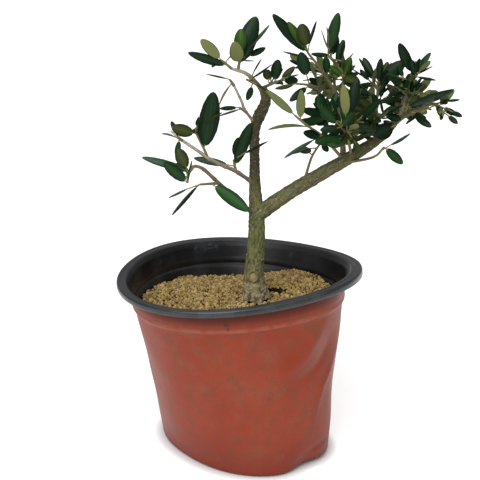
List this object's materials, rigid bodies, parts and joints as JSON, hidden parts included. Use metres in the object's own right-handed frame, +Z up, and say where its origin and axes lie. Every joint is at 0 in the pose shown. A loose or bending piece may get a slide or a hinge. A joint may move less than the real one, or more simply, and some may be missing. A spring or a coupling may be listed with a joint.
{
  "type": "olive bonsai in a nursery pot",
  "caption": "Young olive grown as a bonsai, with a slim leaning trunk, a long side bough and leathery leaves, in a soft round nursery pot filled with gritty soil.",
  "frame": {"origin": "on the pot's flat underside, midway between the centres of its foot and its rim", "axes": "+Z up; the long side bough reaches towards +X; the pictured side faces -Y"},
  "size_m": [0.2023, 0.1543, 0.2591],
  "materials": {
    "pot_plastic": "soft satin plastic, terracotta red outside and black inside, a little dusty",
    "soil_grit": "loose dry clay granules, matt",
    "bark": "rough grey-brown bark, mossy on the lower trunk",
    "leaf": "leathery leaf, dark and glossy above, olive grey below"
  },
  "bodies": {
    "root": {"pot": "pot_plastic", "soil": "soil_grit", "trunk": "bark", "bough_right": "bark", "bough_left_high": "bark", "bough_left_low": "bark", "bough_leader_left": "bark", "bough_top_left": "bark", "bough_inner": "bark", "cut_stub": "bark", "leaves_left_outer": "leaf", "leaves_left_upper": "leaf", "leaves_left_inner": "leaf", "leaves_left_low": "leaf", "leaves_left_front": "leaf", "leaves_leader_left": "leaf", "leaves_leader_low": "leaf", "leaves_top_left": "leaf", "leaves_top": "leaf", "leaves_top_low": "leaf", "leaves_centre": "leaf", "leaves_centre_front": "leaf", "leaves_fork_twig": "leaf", "leaves_fork": "leaf", "leaves_crown_left": "leaf", "leaves_crown_top": "leaf", "leaves_right_top": "leaf", "leaves_right_high": "leaf", "leaves_right_tip": "leaf", "leaves_right_low": "leaf", "leaves_hanging": "leaf", "leaves_heart_front": "leaf", "leaves_heart_left": "leaf", "leaves_heart_back": "leaf", "leaves_right_back": "leaf", "leaves_crown_back": "leaf"}
  },
  "joints": []
}
